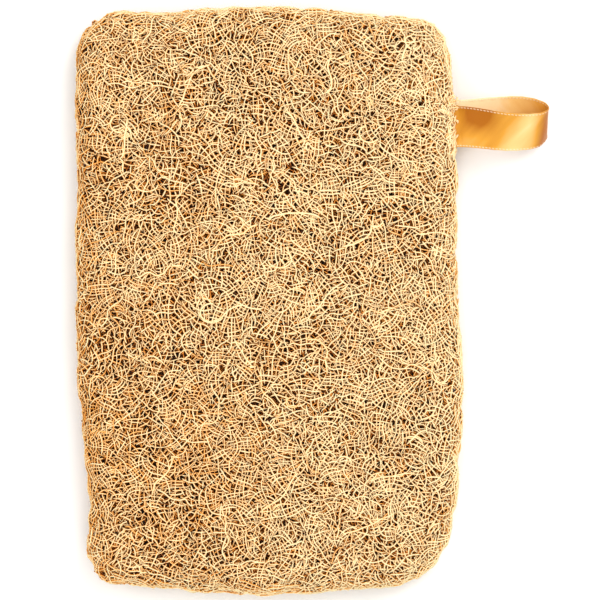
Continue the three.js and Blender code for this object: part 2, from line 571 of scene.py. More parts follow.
@dataclass
class SmoothNoise:
    """Smooth random values from 0 to 1 over a plane, in millimetres."""

    seed: int
    cell: float
    reach: float = 110.0

    def __post_init__(self) -> None:
        """Draws the values at the corners of the cells."""
        count = int(2 * self.reach / self.cell) + 3
        self.corners = np.random.default_rng(self.seed).random((count, count))

    def at(self, points: np.ndarray) -> np.ndarray:
        """The values at points, one a row."""
        return between(self.corners, (points[:, :2] + self.reach) / self.cell, eased=True)


@dataclass
class PadForm:
    """The pad's outer shape, with its outline read from the CAD solid. Millimetres."""

    widest_height: float = 6.6
    widest_tolerance: float = 0.05
    shoulder_height: float = 12.6
    thickness: float = 14.0
    upper_round: float = 8.0
    under_round: float = 4.5
    wrap_turn: float = -0.35
    round_points: int = 64
    face_tilt: float = 0.02
    half_width: float = 51.0
    half_length: float = 77.0
    outline_points: int = 400
    cell: float = 0.5
    margin: float = 8.0
    least_slope: float = 1e-9
    slot_low: tuple[float, float] = (39.0, 38.5)
    slot_high: tuple[float, float] = (47.0, 54.0)

    def __post_init__(self) -> None:
        """Reads the outline and works out how far each place lies inside it."""
        self.outline = self._read_outline()
        self.low = self.outline.min(0) - self.margin
        high = self.outline.max(0) + self.margin
        xs, ys = (np.arange(self.low[k], high[k], self.cell) for k in (0, 1))
        grid = np.stack(np.meshgrid(xs, ys, indexing="ij"), -1).reshape(-1, 2)
        inside = self._signed_distance(grid).reshape(len(xs), len(ys))
        slope = np.stack(np.gradient(inside, self.cell), -1)
        slope /= np.maximum(np.linalg.norm(slope, axis=2, keepdims=True), self.least_slope)
        self.field = np.concatenate([inside[:, :, None], slope], 2)

    def _read_outline(self) -> np.ndarray:
        """Reads the pad's widest line from the CAD solid, without the ribbon's slot.

        Returns:
            Evenly spaced points, anticlockwise.
        """
        corners = np.array([v.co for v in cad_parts["loofah_pad"].data.vertices], float) / MM
        widest = np.abs(corners[:, 2] - self.widest_height) < self.widest_tolerance
        ring = corners[widest][:, :2]
        in_slot = ((ring > self.slot_low) & (ring < self.slot_high)).all(1)
        ring = np.unique(ring[~in_slot].round(3), axis=0)
        ring = ring[np.argsort(np.arctan2(ring[:, 1], ring[:, 0]))]
        closed = np.vstack([ring, ring[:1]])
        run = run_along(closed)
        self.girth = run[-1]
        wanted = np.linspace(0, self.girth, self.outline_points + 1)[:-1]
        return read_along(wanted, run, closed)

    def _signed_distance(self, points: np.ndarray, batch: int = 4000) -> np.ndarray:
        """Measures how far points lie from the outline.

        Args:
            points: places seen from above.
            batch: how many to measure at a time.

        Returns:
            Distances, above 0 inside the outline and below 0 outside it.
        """
        start = self.outline
        step = np.roll(start, -1, axis=0) - start
        length = (step ** 2).sum(1)
        found = np.empty(len(points))
        for first in range(0, len(points), batch):
            away = points[first:first + batch, None] - start[None]
            share = np.clip((away * step).sum(2) / length, 0, 1)
            gap = np.linalg.norm(away - share[:, :, None] * step, axis=2).min(1)
            above = away[:, :, 1] >= 0
            beyond = np.roll(away, -1, axis=1)[:, :, 1] >= 0
            side = step[:, 0] * away[:, :, 1] - step[:, 1] * away[:, :, 0]
            turns = (above & ~beyond & (side > 0)).sum(1) - (~above & beyond & (side < 0)).sum(1)
            found[first:first + batch] = np.where(turns != 0, gap, -gap)
        return found

    def inset(self, points: np.ndarray) -> tuple[np.ndarray, np.ndarray]:
        """How far points lie inside the outline, and which way is in."""
        found = between(self.field, (points - self.low) / self.cell)
        return found[:, 0], unit(found[:, 1:])

    def rounding(self, face: Face) -> tuple[float, float, np.ndarray, np.ndarray]:
        """Works out the rounded edge of a face.

        Args:
            face: the face.

        Returns:
            Its reach in, its height, and a table of run along it and turn.
        """
        if face is Face.TOP:
            reach, height = self.upper_round, self.shoulder_height - self.widest_height
        else:
            reach, height = self.under_round, self.widest_height
        turn = np.linspace(self.wrap_turn, np.pi / 2, self.round_points)
        speed = np.hypot(reach * np.sin(turn), height * np.cos(turn))
        run = np.concatenate([[0], np.cumsum((speed[1:] + speed[:-1]) / 2 * np.diff(turn))])
        run -= np.interp(0, turn, run)
        return reach, height, run, turn

    def overhang(self, face: Face) -> float:
        """How far a net laid flat reaches past the outline, because it wraps round the edge."""
        reach, _, run, _ = self.rounding(face)
        return float(run[-1] - reach)

    def lay(
        self, sheet: np.ndarray, face: Face, depth: np.ndarray
    ) -> tuple[np.ndarray, np.ndarray]:
        """Lays flat places over a face of the pad and round its edge.

        Args:
            sheet: places on the flat net.
            face: the face it covers.
            depth: how far under the surface each place lies.

        Returns:
            Places in space, and directions away from the pad.
        """
        reach, height, run, turn = self.rounding(face)
        inside, inward = self.inset(sheet)
        covered = inside + self.overhang(face)
        angle = np.interp(covered, run, turn)
        flat = covered > run[-1]
        into = np.where(flat, inside, reach * (1 - np.cos(angle)))
        share = np.clip((into - reach) / (self.half_width - reach), 0, 1)
        crown = (self.thickness - self.shoulder_height) * (1 - (1 - share) ** 2)
        rise = height * np.sin(angle) + np.where(flat & (face is Face.TOP), crown, 0)
        out = np.where(flat, self.face_tilt, np.cos(angle) / reach)
        up = np.where(flat, 1.0, np.sin(angle) / height)
        away = unit(np.column_stack([-inward * out[:, None], face.value * up]))
        plan = sheet + inward * (into - inside)[:, None]
        place = np.column_stack([plan, self.widest_height + face.value * rise])
        return place - away * depth[:, None], away

    def edge_run(self, start: float, length: float, covered: np.ndarray, face: Face) -> np.ndarray:
        """Draws a line that follows the outline.

        Args:
            start: where along the outline it starts.
            length: how far it runs.
            covered: how far in from the widest line each place lies, along the surface.
            face: the face it covers.

        Returns:
            Places on the flat net.
        """
        wanted = (start + np.linspace(0, length, len(covered))) % self.girth
        count = len(self.outline)
        run = np.arange(count + 1) / count * self.girth
        line = read_along(wanted, run, np.vstack([self.outline, self.outline[:1]]))
        _, inward = self.inset(line)
        return line + inward * (covered - self.overhang(face))[:, None]


@dataclass
class Net:
    """Fibres on a flat sheet that swirl together and keep apart from each other. Millimetres."""

    seed: int
    spacing: float
    shortest: float
    longest: float
    quarter_turn: bool = False
    swirl_cell: float = 9.5
    swirl_half_turns: float = 2.6
    flutter_cell: float = 2.6
    flutter_turn: float = 2.8
    steadiness: float = 0.45
    step: float = 0.5
    seeds_a_square: float = 2.6
    looseness_cell: float = 11.0
    least_gap: float = 0.67
    loose_gap: float = 0.42
    loose_power: float = 1.5
    overrun: float = 0.6
    raster: float = 0.125
    raster_margin: float = 3.0
    raster_border: int = 12

    def __post_init__(self) -> None:
        """Draws the swirl, the flutter on it and where the net is looser."""
        self.swirl = SmoothNoise(self.seed, self.swirl_cell)
        self.flutter = SmoothNoise(self.seed + 1, self.flutter_cell)
        self.looseness = SmoothNoise(self.seed + 2, self.looseness_cell)

    def directions(self, points: np.ndarray) -> np.ndarray:
        """Works out which way a fibre runs.

        Args:
            points: places on the sheet.

        Returns:
            Directions of length 1.
        """
        turn = self.swirl_half_turns * np.pi * self.swirl.at(points)
        turn = turn + self.flutter_turn * self.flutter.at(points)
        turn += np.pi / 2 * self.quarter_turn
        return np.stack([np.cos(turn), np.sin(turn)], 1)

    def lines(self, form: PadForm, face: Face) -> list[np.ndarray]:
        """Draws the fibres, each from its middle on until it meets another or the sheet's edge.

        Args:
            form: the pad.
            face: the face that the sheet covers.

        Returns:
            One array of places for each fibre.
        """
        rng = np.random.default_rng(self.seed + 10 + self.quarter_turn)
        over = form.overhang(face)
        low = form.outline.min(0) - over
        high = form.outline.max(0) + over
        count = int((high - low).prod() / self.spacing ** 2 * self.seeds_a_square)
        seeds = low + rng.random((count, 2)) * (high - low)
        half = int(self.longest / 2 / self.step)
        traces = self._traces(seeds, half)
        inside, _ = form.inset(traces.reshape(-1, 2))
        inside = (inside + over > -self.overrun).reshape(traces.shape[:2])
        size = ((high - low + 2 * self.raster_margin) / self.raster).astype(int)
        cells = ((traces - low + self.raster_margin) / self.raster).astype(int)
        cells = np.clip(cells, self.raster_border, size - self.raster_border)
        taken = np.zeros(size + 1, bool)
        loose = self.loose_gap * self.looseness.at(seeds) ** self.loose_power
        gap = self.spacing * (self.least_gap + loose)
        lengths = self.shortest + (self.longest - self.shortest) * np.sort(rng.random(count))[::-1]
        found = []
        for k in range(count):
            middle = cells[k, half]
            if taken[middle[0], middle[1]] or not inside[k, half]:
                continue
            free = ~taken[cells[k, :, 0], cells[k, :, 1]] & inside[k]
            reach = int(lengths[k] / 2 / self.step)
            first = last = half
            while first > half - reach and free[first - 1]:
                first -= 1
            while last < half + reach and free[last + 1]:
                last += 1
            if (last - first) * self.step < self.shortest:
                continue
            grown = int(gap[k] / self.step)
            found.append(traces[k, max(first - grown, 0):last + 1 + grown])
            self._keep_clear(taken, cells[k, first:last + 1], int(round(gap[k] / self.raster)))
        return found

    @staticmethod
    def _keep_clear(taken: np.ndarray, cells: np.ndarray, radius: int) -> None:
        """Marks the strip round a fibre, so that no other starts or runs there.

        Args:
            taken: the raster of marked cells, which it changes.
            cells: the fibre's own cells.
            radius: how many cells the strip reaches to each side.
        """
        span = np.arange(-radius, radius + 1)
        dx, dy = np.meshgrid(span, span)
        near = dx ** 2 + dy ** 2 <= radius ** 2
        rows = np.clip(cells[:, :1] + dx[near], 0, taken.shape[0] - 1)
        columns = np.clip(cells[:, 1:] + dy[near], 0, taken.shape[1] - 1)
        taken[rows, columns] = True

    def _traces(self, seeds: np.ndarray, half: int) -> np.ndarray:
        """Follows the flow through each seed. A fibre keeps some of its first bent.

        Args:
            seeds: the fibres' middles.
            half: how many steps to take back, and how many on.

        Returns:
            The places of every fibre, by fibre and step.
        """
        parts = []
        start = self.directions(seeds)
        for sign in (-1, 1):
            place = seeds.copy()
            run = []
            for _ in range(half):
                here = self.directions(place)
                here *= np.where((here * start).sum(1) < 0, -1, 1)[:, None]
                place = place + sign * self.step * unit(here + self.steadiness * start)
                run.append(place)
            parts.append(run)
        back, on = parts
        return np.stack([*back[::-1], seeds, *on], 1)


@dataclass
class Strands:
    """Fibres gathered for one mesh: their places in space, widths and tones. Millimetres."""

    sides: int
    # How far the tone rises on each fibre's outer side as painted highlight, and falls on its inner
    # sides as painted shade.
    painted_light_tone: float = 0.5
    flatness: float = 0.9
    strip_gap: float = 0.8
    strip_height: float = 2.0
    strip_fill: float = 0.88
    places: list[np.ndarray] = field(default_factory=list)
    aways: list[np.ndarray] = field(default_factory=list)
    radii: list[np.ndarray] = field(default_factory=list)
    tones: list[np.ndarray] = field(default_factory=list)

    def add(
        self, place: np.ndarray, away: np.ndarray, radius: np.ndarray, tone: np.ndarray
    ) -> None:
        """Adds one fibre.

        Args:
            place: its places in space.
            away: which way is out of the pad at each.
            radius: its radius at each.
            tone: how light it is at each.
        """
        self.places.append(place)
        self.aways.append(away)
        self.radii.append(radius)
        self.tones.append(tone)

    def mesh(self, name: str, finish: bpy.types.Material) -> bpy.types.Object:
        """Builds every fibre as a closed tube, paler on the side that faces out: a painted highlight
        there, and painted shade on the sides that face in.

        Args:
            name: the piece's name.
            finish: its material.

        Returns:
            The piece.
        """
        counts = np.array([len(p) for p in self.places])
        ends = np.cumsum(counts)
        starts = ends - counts
        line = np.repeat(np.arange(len(counts)), counts)
        place, away = np.concatenate(self.places), np.concatenate(self.aways)
        radius, tone = np.concatenate(self.radii), np.concatenate(self.tones)
        index = np.arange(len(place))
        after, before = np.minimum(index + 1, ends[line] - 1), np.maximum(index - 1, starts[line])
        along = unit(place[after] - place[before])
        side = unit(np.cross(away, along))
        up = np.cross(along, side)
        turn = np.pi / 2 + TURN * np.arange(self.sides) / self.sides
        ring = np.cos(turn)[None, :, None] * side[:, None]
        ring = ring + np.sin(turn)[None, :, None] * up[:, None] * self.flatness
        vertices = place[:, None] + ring * radius[:, None, None]
        body = index[index < ends[line] - 1][:, None] * self.sides
        j = np.arange(self.sides)
        k = (j + 1) % self.sides
        quads = [body + j, body + self.sides + j, body + self.sides + k, body + k]
        quads = np.stack(quads, 2).reshape(-1, 4)
        tail = starts[:, None] * self.sides + j
        head = (ends - 1)[:, None] * self.sides + j[::-1]
        faces = quads[:, ::-1].tolist() + tail[:, ::-1].tolist() + head[:, ::-1].tolist()
        piece = new_piece(name, vertices.reshape(-1, 3), faces, finish)
        tones = piece.data.attributes.new("tone", "FLOAT", "POINT")
        # Painted highlight on the side that faces out, painted shade on the sides that face in.
        tone_with_painted_light = tone[:, None] + self.painted_light_tone * np.sin(turn)
        tones.data.foreach_set("value", tone_with_painted_light.ravel().astype(np.float32))
        write_map(piece, "OFBake", self._unrolled(counts, starts, line, place))
        return piece

    def _unrolled(
        self, counts: np.ndarray, starts: np.ndarray, line: np.ndarray, place: np.ndarray
    ) -> np.ndarray:
        """Lays every fibre out flat as a strip, in rows that fill a square.

        Args:
            counts: how many places each fibre has.
            starts: the number of its first place.
            line: the fibre that each place is on.
            place: the places.

        Returns:
            A place on the map for each corner of each face: the sides, the tails and the heads.
        """
        steps = np.linalg.norm(np.diff(place, axis=0, prepend=place[:1]), axis=1)
        steps[starts] = 0
        run = np.cumsum(steps)
        run -= run[starts][line]
        last = starts + counts - 1
        gap = self.strip_gap
        lengths = run[last] + gap
        width = max(float(np.sqrt(lengths.sum() * self.strip_height)), float(lengths.max()))
        offset, row = np.zeros(len(counts)), np.zeros(len(counts), int)
        at, current = 0.0, 0
        for k, length in enumerate(lengths):
            if at + length > width:
                at, current = 0.0, current + 1
            offset[k], row[k] = at, current
            at += length
        rows = current + 1
        index = np.arange(len(place))
        body = index[index < last[line]]
        j = np.arange(self.sides)
        start = offset[line[body]] + gap / 4
        left, right = (
            np.repeat(((start + run[body + n]) / width)[:, None], self.sides, 1) for n in (0, 1)
        )
        fill = self.strip_fill
        low = (row[line[body]][:, None] + (1 - fill) / 2 + fill * j / self.sides) / rows
        high = low + fill / self.sides / rows
        corners = [np.stack(c, -1) for c in ((left, high), (right, high), (right, low), (left, low))]
        turn = TURN * j / self.sides
        cap_radius, cap_height = gap / 24, 0.2
        cap = np.stack([np.cos(turn) * cap_radius / width, np.sin(turn) * cap_height / rows], 1)
        before, after = gap / 16, gap * 5 / 16
        middles = (offset + before, offset + run[last] + after)
        caps = [np.stack([m / width, (row + 0.5) / rows], 1)[:, None] + cap for m in middles]
        return np.concatenate([np.stack(corners, 2).reshape(-1, 2), *(c.reshape(-1, 2) for c in caps)])


def wear(piece: bpy.types.Object, node: str) -> None:
    """Puts a piece on the object in place of a CAD node.

    Args:
        piece: the piece.
        node: the CAD node that it stands for.
    """
    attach(piece, "root")
    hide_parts(node)
    count = sum(len(p.vertices) - 2 for p in piece.data.polygons)
    LOG.info("%s: %d triangles", piece.name, count)


@dataclass
class Surface:
    """The pad's surface: where it dips, how light its fibre is, where painted shade darkens it as in
    hollows and how it parts for the ribbon.
    """

    form: PadForm
    broad_dip: float = 0.5
    small_dip: float = 0.25
    swell: float = 0.2
    notch: float = 1.1
    notch_reach: float = 4.0
    level_half_width: float = 8.5
    level_fade: float = 2.0
    level_from: float = 40.0
    patch_tone: float = 0.07
    edge_reach: float = 9.0
    edge_tone: float = 0.02
    left_tone: float = 0.1
    left_sharpness: float = 1.5
    brown_middle: tuple[float, float] = (-28.0, -42.0)
    brown_reach: float = 42.0
    brown_tone: float = 0.11
    rightward_tone: float = 0.0015
    # Where painted shade darkens the deeper fibres, as in dark hollows of the net.
    hollow_middle_y: float = 25.0
    hollow_reach: tuple[float, float] = (38.0, 60.0)
    hollow_middle: float = 0.14
    hollow_patch: float = 0.12
    hollow_from: float = 0.76
    hollow_fade: float = 0.16
    ribbon_half_width: float = 7.2
    ribbon_end: float = 39.6
    slit: float = 0.95
    slit_side_fade: float = 1.2
    slit_end_fade: float = 1.5
    slit_core: float = 0.4
    end_taper: float = 0.55

    def __post_init__(self) -> None:
        """Draws the dips, the tone's patches, the notches round the edge and the patches of painted
        shade in hollows.
        """
        self.broad_dips = SmoothNoise(5, 17.0)
        self.small_dips = SmoothNoise(6, 6.0)
        self.patches = SmoothNoise(7, 12.0)
        self.notches = SmoothNoise(8, 3.6)
        self.hollows = SmoothNoise(9, 1.5)
        self.hollow_patches = SmoothNoise(12, 9.0)

    def dip(self, points: np.ndarray) -> np.ndarray:
        """Works out how far the face dips, most of all in notches round its edge.

        Args:
            points: places on the flat net.

        Returns:
            Depths.
        """
        inside, _ = self.form.inset(points)
        near = np.clip(1 - inside / self.notch_reach, 0, 1)
        dips = self.broad_dip * self.broad_dips.at(points)
        dips = dips + self.small_dip * self.small_dips.at(points)
        notch = self.notch * self.notches.at(points) ** 2
        beside = self.level_half_width - np.abs(points[:, 1] - RIBBON_Y)
        level = np.clip(beside / self.level_fade, 0, 1) * (points[:, 0] > self.level_from)
        return ((dips - self.swell) * (1 - near) + notch * near) * (1 - level)

    def tone(self, points: np.ndarray) -> np.ndarray:
        """Works out how much lighter the fibre is: pale to the right, brown at the left and low left.

        Args:
            points: places on the flat net.

        Returns:
            What to add to the fibre's tone.
        """
        patches = self.patch_tone * (self.patches.at(points) - 0.5)
        inside, inward = self.form.inset(points)
        near = np.clip(1 - inside / self.edge_reach, 0, 1)
        left = np.clip(inward[:, 0] * self.left_sharpness, 0, 1)
        away = points - self.brown_middle
        brown = np.clip(1 - np.hypot(away[:, 0], away[:, 1]) / self.brown_reach, 0, 1)
        edge = near * (self.edge_tone - self.left_tone * left)
        return patches + edge - self.brown_tone * brown + self.rightward_tone * points[:, 0]

    def hollow(self, points: np.ndarray) -> np.ndarray:
        """Works out how much painted shade darkens the deeper fibres, as in a dark hollow of the net,
        most of all in the upper middle.

        Args:
            points: places on the flat net.

        Returns:
            Shares, from 0 to 1.
        """
        chance = self.hollows.at(points) + self.hollow_patch * self.hollow_patches.at(points)
        across, along = self.hollow_reach
        away = np.hypot(points[:, 0] / across, (points[:, 1] - self.hollow_middle_y) / along)
        chance = chance + self.hollow_middle * np.clip(1 - away, 0, 1)
        return np.clip((chance - self.hollow_from) / self.hollow_fade, 0, 1)

    def clear_of_ribbon(self, place: np.ndarray, face: Face) -> np.ndarray:
        """Moves fibres up or down, off the ribbon's ends.

        Args:
            place: places in space, which it changes.
            face: the face that the fibre covers.

        Returns:
            The places.
        """
        beside = self.ribbon_half_width - np.abs(place[:, 1] - RIBBON_Y)
        window = np.clip(beside / self.slit_side_fade, 0, 1)
        window *= np.clip((place[:, 0] - self.ribbon_end) / self.slit_end_fade, 0, 1)
        lift = place[:, 2] - RIBBON_Z
        needed = self.slit * window * window * (3 - 2 * window)
        side = np.where(np.abs(lift) > self.slit_core, np.sign(lift), face.value)
        place[:, 2] += np.where(side * lift < needed, side * needed - lift, 0)
        return place

    def place(self, strands: Strands, line: np.ndarray, face: Face, depth: np.ndarray,
              thick: float, tone: float | np.ndarray) -> None:
        """Lays one fibre on the pad, parted where it would cross the ribbon.

        Args:
            strands: the fibres it joins.
            line: its places on the flat sheet.
            face: the face it covers.
            depth: how deep it lies at each place.
            thick: its radius.
            tone: how light it is.
        """
        place, away = self.form.lay(line, face, depth)
        beside = np.abs(place[:, 1] - RIBBON_Y) < self.ribbon_half_width
        beside &= place[:, 0] > self.ribbon_end
        clear = ~beside | (face.value * (place[:, 2] - RIBBON_Z) > 0)
        place = self.clear_of_ribbon(place, face)
        tones = tone + self.tone(line)
        edges = np.flatnonzero(np.diff(np.concatenate([[False], clear, [False]])))
        for first, last in zip(edges[::2], edges[1::2]):
            if last - first < 2:
                continue
            taper = np.ones(last - first)
            taper[[0, -1]] = self.end_taper
            strands.add(place[first:last], away[first:last], thick * taper, tones[first:last])


@dataclass(frozen=True)
class Layer:
    """One layer of net: how deep it lies, how thick its fibres are and how light. A deeper layer's lower
    tone is partly the fibre's own colour and partly painted shade.
    """

    name: str
    face: Face
    seed: int
    depth: float
    spacing: float
    radius: float
    sides: int
    stride: int
    tone: float
    hollows: float = 0.0


@dataclass
class LayeredNet:
    """A layer of net: long fibres, and short rungs a quarter turn from them. Millimetres."""

    surface: Surface
    long_fibre: tuple[float, float] = (1.6, 12.0)
    rung: tuple[float, float] = (1.0, 6.0)
    rung_spacing: float = 1.15
    thickness: tuple[float, float] = (0.65, 1.25)
    ripple: float = 0.25
    ripple_cell: float = 1.7
    depth_spread: float = 0.12
    least_depth: float = 0.3
    tone_spread: float = 0.12

    def strands(self, layer: Layer) -> Strands:
        """Draws one layer of net over a face.

        Args:
            layer: the layer.

        Returns:
            Its fibres.
        """
        strands = Strands(layer.sides)
        rng = np.random.default_rng(layer.seed + 5)
        ripple = SmoothNoise(layer.seed + 6, self.ripple_cell)
        families = (
            Net(layer.seed, layer.spacing, *self.long_fibre),
            Net(layer.seed, layer.spacing * self.rung_spacing, *self.rung, quarter_turn=True),
        )
        surface, spread = self.surface, self.depth_spread
        for family in families:
            for line in family.lines(surface.form, layer.face):
                line = self.thinned(line, layer.stride)
                thick = layer.radius * rng.uniform(*self.thickness)
                depth = layer.depth + self.ripple * (2 * ripple.at(line) - 1) + surface.dip(line)
                depth = np.maximum(depth + rng.uniform(-spread, spread), self.least_depth)
                # Painted shade: the layer's tone is lower the deeper it lies, and lower again in
                # hollows.
                tone = layer.tone - layer.hollows * surface.hollow(line)
                tone = tone + rng.normal(0, self.tone_spread)
                surface.place(strands, line, layer.face, depth, thick, tone)
        return strands

    @staticmethod
    def thinned(line: np.ndarray, stride: int) -> np.ndarray:
        """Thins out a line's points.

        Args:
            line: the points.
            stride: how many steps to make one.

        Returns:
            Every few points, and the last one.
        """
        kept = line[::stride]
        if (len(line) - 1) % stride:
            kept = np.vstack([kept, line[-1:]])
        return kept


@dataclass
class LooseFibres:
    """Thicker, curled fibres over the top net, and short ones over the ribbon. Millimetres."""

    surface: Surface
    sides: int = 4
    seed: int = 77
    arcs: int = 70
    arc_radius: tuple[float, float] = (1.3, 3.4)
    arc_sweep: tuple[float, float] = (1.4, 4.6)
    arc_squash: tuple[float, float] = (0.5, 0.85)
    arc_step: float = 0.7
    arc_least_points: int = 4
    knots: int = 40
    knot_arms: tuple[int, int] = (4, 7)
    arm_swing: float = 0.25
    arm_bend: float = 0.8
    arm_start: float = 0.25
    arm_reach: tuple[float, float] = (1.6, 3.2)
    arm_points: int = 5
    curl_radius: float = 0.23
    long_seed: int = 41
    long_radius: float = 0.25
    long_spacing: float = 10.0
    long_length: tuple[float, float] = (5.0, 15.0)
    long_swirl: float = 13.0
    long_step: float = 0.8
    edge_room: float = 0.5
    depth: float = 0.2
    depth_spread: float = 0.3
    thickness: tuple[float, float] = (0.8, 1.15)
    tone: float = 0.66
    tone_spread: float = 0.08
    root_seed: int = 78
    root_fibres: int = 76
    root_x: tuple[float, float] = (45.4, 48.3)
    root_y: tuple[float, float] = (-7.5, 6.5)
    root_end_x: tuple[float, float] = (48.1, 49.2)
    root_turn: float = 0.6
    root_bend: float = 1.6
    root_lengths: tuple[float, float] = (1.3, 3.6)
    root_upright_share: float = 0.68
    root_radius: float = 0.22
    root_tone: float = 0.63
    root_tone_spread: float = 0.14
    root_points: int = 6
    root_lift: tuple[float, float] = (-0.05, 0.3)
    root_thickness: tuple[float, float] = (0.8, 1.2)
    root_away: tuple[float, float, float] = (0.5, 0.0, 0.87)

    def strands(self) -> Strands:
        """Draws arcs, star-shaped knots, long fibres and the short ones over the ribbon.

        Returns:
            The fibres.
        """
        strands = Strands(self.sides)
        rng = np.random.default_rng(self.seed)
        form = self.surface.form
        low, high = form.outline.min(0), form.outline.max(0)
        for _ in range(self.arcs):
            middle = low + rng.random(2) * (high - low)
            radius = rng.uniform(*self.arc_radius)
            sweep = rng.uniform(*self.arc_sweep)
            count = max(int(sweep * radius / self.arc_step), self.arc_least_points)
            turn = rng.uniform(0, TURN) + np.linspace(0, sweep, count)
            squash = rng.uniform(*self.arc_squash)
            line = middle + np.stack([radius * np.cos(turn), radius * squash * np.sin(turn)], 1)
            self.lie_on_top(strands, line, rng, self.curl_radius)
        for _ in range(self.knots):
            middle = low + rng.random(2) * (high - low)
            for turn in np.arange(0, TURN, TURN / rng.integers(*self.knot_arms)):
                turn += rng.uniform(-self.arm_swing, self.arm_swing)
                bend = turn + np.linspace(0, rng.uniform(-self.arm_bend, self.arm_bend), self.arm_points)
                reach = np.linspace(self.arm_start, rng.uniform(*self.arm_reach), self.arm_points)
                line = middle + reach[:, None] * np.stack([np.cos(bend), np.sin(bend)], 1)
                self.lie_on_top(strands, line, rng, self.curl_radius)
        long_net = Net(
            self.long_seed, self.long_spacing, *self.long_length,
            swirl_cell=self.long_swirl, step=self.long_step,
        )
        for line in long_net.lines(form, Face.TOP):
            self.lie_on_top(strands, line, rng, self.long_radius)
        self.close_over_ribbon(strands)
        return strands

    def close_over_ribbon(self, strands: Strands) -> None:
        """Lays short fibres over the ribbon where it leaves the pad.

        Args:
            strands: the fibres they join.
        """
        form, count = self.surface.form, self.root_points
        rng = np.random.default_rng(self.root_seed)
        for _ in range(self.root_fibres):
            start = np.array([rng.uniform(*self.root_x), RIBBON_Y + rng.uniform(*self.root_y)])
            turn = rng.normal(0, self.root_turn) + np.pi / 2 * (rng.random() < self.root_upright_share)
            turn = turn + np.linspace(0, rng.uniform(-self.root_bend, self.root_bend), count)
            run = np.cumsum(np.stack([np.cos(turn), np.sin(turn)], 1), 0)
            line = start + run * rng.uniform(*self.root_lengths) / count
            line[:, 0] = np.minimum(line[:, 0], rng.uniform(*self.root_end_x))
            inside, _ = form.inset(line)
            share = 1 - np.clip(inside / form.upper_round, 0, 1)
            rise = (form.shoulder_height - form.widest_height) * np.sqrt(1 - share ** 2)
            level = np.maximum(form.widest_height + rise, RIBBON_Z + self.surface.slit)
            level = level + rng.uniform(*self.root_lift)
            radius = np.full(count, self.root_radius * rng.uniform(*self.root_thickness))
            radius[-1] *= self.surface.end_taper
            away = np.tile(unit(np.array([self.root_away])), (count, 1))
            tone = self.root_tone + rng.normal(0, self.root_tone_spread) + self.surface.tone(line)
            strands.add(np.column_stack([line, level]), away, radius, tone)

    def lie_on_top(
        self, strands: Strands, line: np.ndarray, rng: np.random.Generator, thick: float
    ) -> None:
        """Lays one loose fibre over the top net, unless it comes too near the edge.

        Args:
            strands: the fibres it joins.
            line: its places on the flat net.
            rng: where its depth, width and tone are drawn from.
            thick: its radius.
        """
        inside, _ = self.surface.form.inset(line)
        if inside.min() < self.edge_room:
            return
        depth = self.depth + self.surface.dip(line) + rng.uniform(0, self.depth_spread)
        thick = thick * rng.uniform(*self.thickness)
        tone = self.tone + rng.normal(0, self.tone_spread)
        self.surface.place(strands, line, Face.TOP, depth, thick, tone)


@dataclass
class Rim:
    """Long fibres pressed together round the pad's edge. Millimetres."""

    surface: Surface
    sides: int = 4
    seed: int = 99
    first_row: float = -0.5
    last_row: float = 2.4
    row_gap: float = 0.55
    lengths: tuple[float, float] = (4.0, 11.0)
    step: float = 1.1
    wander: float = 0.7
    wander_turn: tuple[float, float] = (2.0, 7.0)
    any_turn: float = 6.0
    row_spread: float = 0.2
    first_start: float = 30.0
    overlap: tuple[float, float] = (0.8, 1.0)
    thickness: tuple[float, float] = (0.8, 1.2)
    depth: float = 0.4
    wave: float = 0.15
    wave_length: float = 3.1
    radius: float = 0.2
    tone: float = 0.68
    left_tone: float = 0.52
    tone_spread: float = 0.08

    def strands(self) -> Strands:
        """Draws rows of fibres over both faces of the edge, fewest on the left.

        Returns:
            The fibres.
        """
        strands = Strands(self.sides)
        rng = np.random.default_rng(self.seed)
        form = self.surface.form
        crowd = {Side.RIGHT: 0.6, Side.BOTTOM: 0.6, Side.TOP: 0.45, Side.LEFT: 0.3}
        rows = np.arange(self.first_row, self.last_row, self.row_gap)
        for face, row in ((face, row) for face in Face for row in rows):
            start = rng.uniform(0, self.first_start)
            while start < form.girth:
                length = rng.uniform(*self.lengths)
                count = int(length / self.step)
                turn = np.linspace(0, rng.uniform(*self.wander_turn), count)
                turn = turn + rng.uniform(0, self.any_turn)
                covered = row + self.wander * np.sin(turn)
                covered = covered + rng.uniform(-self.row_spread, self.row_spread)
                line = form.edge_run(start, length, covered, face)
                start += length * rng.uniform(*self.overlap)
                _, inward = form.inset(line[count // 2:count // 2 + 1])
                side = max(Side, key=lambda s: -float(inward[0] @ np.array(s.value)))
                if rng.random() > crowd[side]:
                    continue
                turn = np.linspace(0, length / self.wave_length, count) + rng.uniform(0, self.any_turn)
                depth = self.depth + self.wave * np.sin(turn) + np.maximum(self.surface.dip(line), 0)
                tone = self.left_tone if side is Side.LEFT else self.tone
                thick = self.radius * rng.uniform(*self.thickness)
                tone = tone + rng.normal(0, self.tone_spread)
                self.surface.place(strands, line, face, depth, thick, tone)
        return strands


